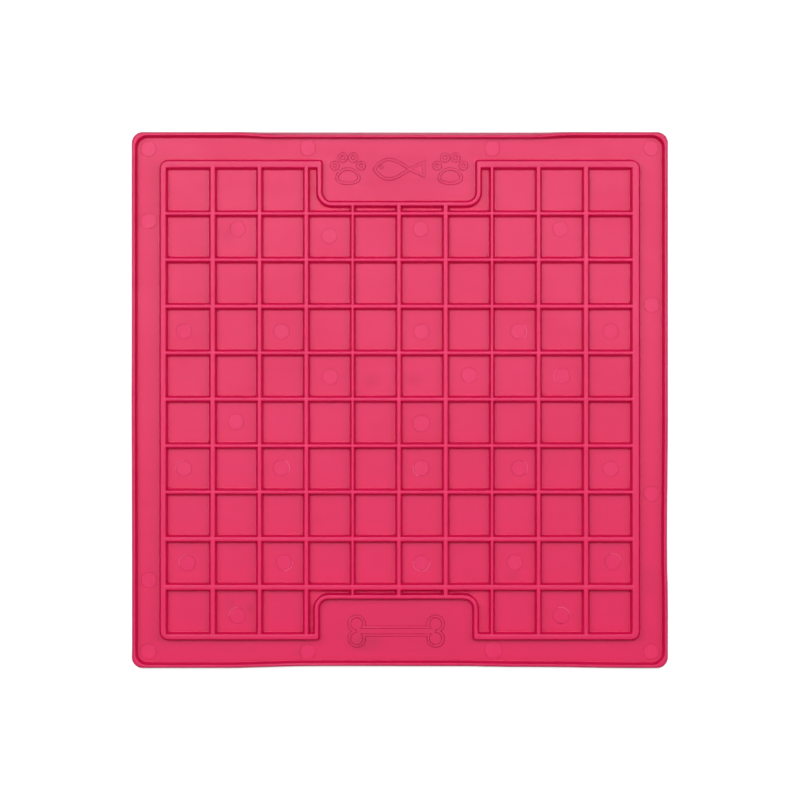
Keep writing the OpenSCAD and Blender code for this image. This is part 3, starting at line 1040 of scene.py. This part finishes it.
# A corner point is fattened along its diagonal, so it has to go further than a side
CORNER_GROWTH = 1.41
DOUBLES = 0.002 * MM
MOTIF_FLAT, MOTIF_SHARP = math.radians(0.5), math.radians(60)
outlines = []
moat_cutters = []
for node, name in (("paw_motifs", "paw_outlines"), ("fish_motif", "fish_outline"),
                   ("bone_motif", "bone_outline")):
    outline = copy_of(bpy.data.objects[node], name)
    take_all()
    bpy.ops.mesh.remove_doubles(threshold=DOUBLES)
    bpy.ops.object.mode_set(mode="OBJECT")
    moat_cutters.append(copy_of(outline, "moat_cutter"))
    take_all()
    bpy.ops.transform.shrink_fatten(value=CORNER_GROWTH * MOAT)
    pick("VERT", lambda v: v.co.z < SHEET_TOP)
    move(z=-MOAT_DEEPER)
    bpy.ops.object.mode_set(mode="OBJECT")
    take_up(outline, edit=True)
    take_all()
    bpy.ops.mesh.dissolve_limited(angle_limit=MOTIF_FLAT)
    pick("EDGE", lambda e: all(v.co.z > SHEET_TOP + 2 * CLOSE for v in e.verts)
         and len(e.link_faces) == 2 and e.calc_face_angle() > MOTIF_SHARP)
    bevel(MOTIF_ROUND, 3)
    pick("VERT", lambda v: v.co.z < SHEET_TOP + SKIN)
    move(z=-MOTIF_SUNK)
    settle(outline, [node], smooth_deg=15)
    outlines.append(outline)
carve(sheet, join_all(moat_cutters, "moat_cutters"))
bpy.ops.object.mode_set(mode="EDIT")
close_holes()
settle(sheet, ["base_sheet"])

# %% [markdown]
# All pieces are one rubber, pink and satin, and three node groups hold what their materials share.
# All read Object coordinates, and since the pieces share one origin a pattern runs on from piece to
# piece. The first group is for darker, duller spots. Some are smudges on the rubber and some are
# painted shade round some pin marks. Each is a soft ellipse at a place seen in the photograph, and
# noise makes their outlines ragged.

# %% Node group for smudges and painted shade
# Some spots are smudges; those round some pin marks are painted shade.
# Place and reach in mm, strength
SPOTS = [(-12.6, -90.6, 10, 5, 1.0), (-55.7, -77.4, 3, 3, 0.7), (93.3, -67, 4.5, 9, 0.5),
         (-38.3, -94.3, 2, 1.5, 0.7), (-10.4, 7.5, 5, 4, 0.6), (5.6, 7.5, 5, 4, 0.6),
         (42, -65.5, 5, 3, 0.7), (-63.5, -76, 3, 4, 0.6), (27, -65, 6, 4, 0.4), (-64, 62, 4, 6, 0.6)]
# A spot begins one reach from its middle and is full at a fifth of that
SPOT_EDGE, SPOT_CORE = 1.0, 0.2


def new_group(name, inputs, outputs):
    """A node group with its sockets, and the two nodes where values enter and leave it."""
    group = bpy.data.node_groups.new(name, "ShaderNodeTree")
    for label, kind, value in inputs:
        socket = group.interface.new_socket(label, in_out="INPUT", socket_type=kind)
        socket.default_value = value
    for label, kind in outputs:
        group.interface.new_socket(label, in_out="OUTPUT", socket_type=kind)
    entry = group.nodes.new("NodeGroupInput")
    leave = group.nodes.new("NodeGroupOutput")
    return group, entry, leave


def noise(tree, vector, scale, detail=3.0, roughness=0.5):
    """Cloudy noise on the given coordinates; its scale is about one over a cloud's size in metres."""
    node = tree.nodes.new("ShaderNodeTexNoise")
    node.inputs["Detail"].default_value = detail
    node.inputs["Roughness"].default_value = roughness
    node.inputs["Scale"].default_value = scale
    tree.links.new(vector, node.inputs["Vector"])
    return node.outputs["Fac"]


def ramp(tree, value, low, high):
    """A soft step from 0 to 1 as the value goes from low to high."""
    node = tree.nodes.new("ShaderNodeMapRange")
    node.interpolation_type = "SMOOTHSTEP"
    node.inputs["From Min"].default_value = low
    node.inputs["From Max"].default_value = high
    tree.links.new(value, node.inputs["Value"])
    return node.outputs["Result"]


def vector_maths(tree, operation, vector, numbers=(0, 0, 0)):
    """One sum on a vector and plain numbers."""
    node = tree.nodes.new("ShaderNodeVectorMath")
    node.operation = operation
    node.inputs[1].default_value = numbers
    tree.links.new(vector, node.inputs[0])
    return node.outputs


spots, entry, leave = new_group("smudges_and_pin_shade", [("Breakup", "NodeSocketFloat", 0.5)],
                                [("Mask", "NodeSocketFloat")])
place = spots.nodes.new("ShaderNodeTexCoord").outputs["Object"]
total = 0.0
for x, y, reach_x, reach_y, strength in SPOTS:
    offset = vector_maths(spots, "SUBTRACT", place, (x * MM, y * MM, 0))["Vector"]
    ellipse = (1 / (reach_x * MM), 1 / (reach_y * MM), 0)
    scaled = vector_maths(spots, "MULTIPLY", offset, ellipse)["Vector"]
    distance = vector_maths(spots, "LENGTH", scaled)["Value"]
    spot = maths(spots, "MULTIPLY", ramp(spots, distance, SPOT_EDGE, SPOT_CORE), strength)
    total = maths(spots, "ADD", total, spot)
breakup = noise(spots, place, scale=240.0, detail=4.0, roughness=0.65)
ragged = ramp(spots, breakup, low=0.3, high=0.65)
kept = maths(spots, "SUBTRACT", 1.0, entry.outputs["Breakup"])
ragged = maths(spots, "ADD", kept, maths(spots, "MULTIPLY", ragged, entry.outputs["Breakup"]))
spots.links.new(maths(spots, "MULTIPLY", total, ragged), leave.inputs["Mask"])
print("smudges_and_pin_shade:", len(SPOTS), "spots")

# %% [markdown]
# The colour isn't even either: where the rubber flowed through the mould it left faint clouds and
# long streaks. The second group lays broad, fine and stretched noise over one another, mixes the two
# pinks by them, and hands the mask on, because the clouds change the roughness too.

# %% Node group for the clouds
FLOOR_PINK, FLOOR_DEEP = (0.77, 0.003, 0.09), (0.72, 0.002, 0.078)
BROAD_SHARE, FINE_SHARE, STREAK_SHARE = 0.5, 0.2, 0.3
STREAK_STRETCH = (1.0, 5.0, 1.0)
STREAK_TURN = math.radians(18)


def mixed(tree, factor, a, b, way="MIX"):
    """Mixes two colours, each of them a socket or a plain colour."""
    node = tree.nodes.new("ShaderNodeMix")
    node.data_type = "RGBA"
    node.blend_type = way
    for name, item in (("Factor", factor), ("A", a), ("B", b)):
        if isinstance(item, tuple):
            node.inputs[name].default_value = item
        else:
            tree.links.new(item, node.inputs[name])
    return node.outputs["Result"]


clouds, entry, leave = new_group(
    "flow_clouds",
    [("Base", "NodeSocketColor", (*FLOOR_PINK, 1)), ("Deep", "NodeSocketColor", (*FLOOR_DEEP, 1)),
     ("Amount", "NodeSocketFloat", 0.5)],
    [("Color", "NodeSocketColor"), ("Mask", "NodeSocketFloat")])
place = clouds.nodes.new("ShaderNodeTexCoord").outputs["Object"]
broad = ramp(clouds, noise(clouds, place, scale=22.0, detail=2.0), low=0.35, high=0.68)
fine = ramp(clouds, noise(clouds, place, scale=150.0, detail=4.0, roughness=0.6), low=0.4, high=0.7)
stretch = clouds.nodes.new("ShaderNodeMapping")
stretch.inputs["Scale"].default_value = STREAK_STRETCH
stretch.inputs["Rotation"].default_value = (0, 0, STREAK_TURN)
clouds.links.new(place, stretch.inputs["Vector"])
streaks = ramp(clouds, noise(clouds, stretch.outputs[0], scale=40.0), low=0.5, high=0.72)
mask = maths(clouds, "ADD", maths(clouds, "MULTIPLY", broad, BROAD_SHARE),
             maths(clouds, "MULTIPLY", fine, FINE_SHARE))
mask = maths(clouds, "ADD", mask, maths(clouds, "MULTIPLY", streaks, STREAK_SHARE))
share = maths(clouds, "MULTIPLY", mask, entry.outputs["Amount"])
colour = mixed(clouds, share, entry.outputs["Base"], entry.outputs["Deep"])
clouds.links.new(colour, leave.inputs["Color"])
clouds.links.new(mask, leave.inputs["Mask"])
print("flow_clouds:", len(clouds.nodes), "nodes")

# %% [markdown]
# The third group is the skin: a grain as fine as the mould's own finish and a soft unevenness that
# bends the sheen. It puts out a height, and a Bump node in each material turns that into relief.

# %% Node group for the skin
skin, entry, leave = new_group(
    "rubber_skin",
    [("Grain", "NodeSocketFloat", 0.2), ("Unevenness", "NodeSocketFloat", 0.5)],
    [("Height", "NodeSocketFloat")])
place = skin.nodes.new("ShaderNodeTexCoord").outputs["Object"]
grain = noise(skin, place, scale=2600.0, detail=2.0)
soft = noise(skin, place, scale=260.0, detail=2.0)
height = maths(skin, "ADD", maths(skin, "MULTIPLY", grain, entry.outputs["Grain"]),
               maths(skin, "MULTIPLY", soft, entry.outputs["Unevenness"]))
skin.links.new(height, leave.inputs["Height"])
print("rubber_skin:", len(skin.nodes), "nodes")

# %% [markdown]
# Each kind of piece gets its own material from the groups, because the mould was finished
# differently: the crests are smooth and slightly polished by use, the cells' floors are satin, the
# border and its rim a little rougher. The ribs and the frame also get a lighter pink than the floors,
# which is painted light on their crests. The last mix takes a share of the colour away on rays that
# have bounced off another surface, which paints deeper shade where light bounces between the ridges
# and the sheet. Without it the dark feet of the ridges come out too red.

# %% Materials
# Share of the colour kept on bounced rays; the lower share paints deeper shade at the ridges' feet.
FLOOR_KEPT, RIDGE_KEPT = 0.92, 0.7
SPOT_DARK = 0.9
RUBBER_IOR, SHINE = 1.45, 0.45


def in_group(tree, group, **values):
    """Places a node group with its own values."""
    node = tree.nodes.new("ShaderNodeGroup")
    node.node_tree = group
    for label, value in values.items():
        node.inputs[label].default_value = value
    return node.outputs


def rubber(name, base, deep, amount, rough, grain, unevenness, relief, kept=FLOOR_KEPT):
    """A satin rubber whose colour, roughness and relief vary over the surface."""
    material = bpy.data.materials.new(name)
    material.use_nodes = True
    tree = material.node_tree
    shader = tree.nodes["Principled BSDF"]
    shader.inputs["IOR"].default_value = RUBBER_IOR
    shader.inputs["Specular IOR Level"].default_value = SHINE
    tint = in_group(tree, clouds, Base=(*base, 1), Deep=(*deep, 1), Amount=amount)
    smudge_and_shade = in_group(tree, spots)
    # The spots darken the colour: partly smudges, partly painted shade round some pin marks.
    dark = (*(SPOT_DARK * channel for channel in deep), 1)
    spotted_colour = mixed(tree, smudge_and_shade["Mask"], tint["Color"], dark)
    # Painted shade: on bounced rays the colour is darkened, so less light bounces into the ridges'
    # feet.
    bounced = tree.nodes.new("ShaderNodeLightPath").outputs["Is Diffuse Ray"]
    bounce_darkened = mixed(tree, bounced, spotted_colour, (kept, kept, kept, 1), way="MULTIPLY")
    tree.links.new(bounce_darkened, shader.inputs["Base Color"])
    spread = tree.nodes.new("ShaderNodeMapRange")
    spread.clamp = False
    spread.inputs["To Min"].default_value = rough[0]
    spread.inputs["To Max"].default_value = rough[1]
    tree.links.new(maths(tree, "ADD", tint["Mask"], smudge_and_shade["Mask"]), spread.inputs["Value"])
    tree.links.new(spread.outputs["Result"], shader.inputs["Roughness"])
    surface = in_group(tree, skin, Grain=grain, Unevenness=unevenness)
    bump = tree.nodes.new("ShaderNodeBump")
    bump.inputs["Distance"].default_value = relief
    bump.inputs["Strength"].default_value = 1.0
    tree.links.new(surface["Height"], bump.inputs["Height"])
    tree.links.new(bump.outputs["Normal"], shader.inputs["Normal"])
    return material


# The ribs' and the frame's pinks are lighter than the floor's: painted light that brightens their
# crests.
RIB_PINK, RIB_DEEP = (0.82, 0.004, 0.096), (0.77, 0.003, 0.084)
FRAME_PINK, FRAME_DEEP = (0.81, 0.004, 0.095), (0.76, 0.003, 0.082)
# The pin marks' pink is a little lighter and whiter than the floor's: a painted sheen on the discs.
PIN_PINK, PIN_DEEP = (0.80, 0.007, 0.106), (0.75, 0.005, 0.092)
# The flash's much lighter pink is a painted highlight on the crescents.
FLASH_PINK, FLASH_DEEP = (0.98, 0.13, 0.28), (0.95, 0.10, 0.24)
floor_rubber = rubber("cell_floor_rubber", FLOOR_PINK, FLOOR_DEEP, amount=0.8, rough=(0.4, 0.47),
                      grain=0.15, unevenness=0.6, relief=0.04 * MM)
rib_rubber = rubber("rib_rubber", RIB_PINK, RIB_DEEP, amount=0.6, rough=(0.38, 0.46),
                    grain=0.1, unevenness=0.7, relief=0.04 * MM, kept=RIDGE_KEPT)
frame_rubber = rubber("frame_rubber", FRAME_PINK, FRAME_DEEP, amount=0.6, rough=(0.38, 0.46),
                      grain=0.1, unevenness=0.7, relief=0.04 * MM, kept=RIDGE_KEPT)
rim_rubber = rubber("rim_rubber", FLOOR_PINK, FLOOR_DEEP, amount=0.6, rough=(0.4, 0.5),
                    grain=0.15, unevenness=0.7, relief=0.04 * MM, kept=RIDGE_KEPT)
pin_rubber = rubber("pin_mark_rubber", PIN_PINK, PIN_DEEP, amount=0.6, rough=(0.4, 0.46),
                    grain=0.1, unevenness=0.5, relief=0.03 * MM)
flash_rubber = rubber("flash_highlight_rubber", FLASH_PINK, FLASH_DEEP, amount=0.5, rough=(0.35, 0.45),
                      grain=0.1, unevenness=0.5, relief=0.03 * MM)
motif_rubber = rubber("outline_rubber", FLOOR_PINK, FLOOR_DEEP, amount=0.6, rough=(0.4, 0.48),
                      grain=0.1, unevenness=0.5, relief=0.03 * MM)
print("materials:", [m.name for m in bpy.data.materials])

# %% [markdown]
# The materials are handed out last, piece by piece. Copies of the model's solids bring materials of
# their own along, so each list is emptied first.

# %% Give each piece its rubber
walls = [bpy.data.objects[end + "_panel_wall"] for end in ("far", "near")]
FINISH = [(floor_rubber, [sheet]), (pin_rubber, [pin_marks]), (flash_rubber, [flash_marks]),
          (rib_rubber, row_pieces + column_pieces), (frame_rubber, [frame_ridge] + walls),
          (rim_rubber, [rim]), (motif_rubber, outlines)]
for material, group in FINISH:
    for piece in group:
        piece.data.materials.clear()
        piece.data.materials.append(material)
    print(material.name, "on", len(group), "pieces")

# %% Print the sizes and finish
low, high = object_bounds()
print("visual box in mm:", [round(v / MM, 2) for v in (high - low)])
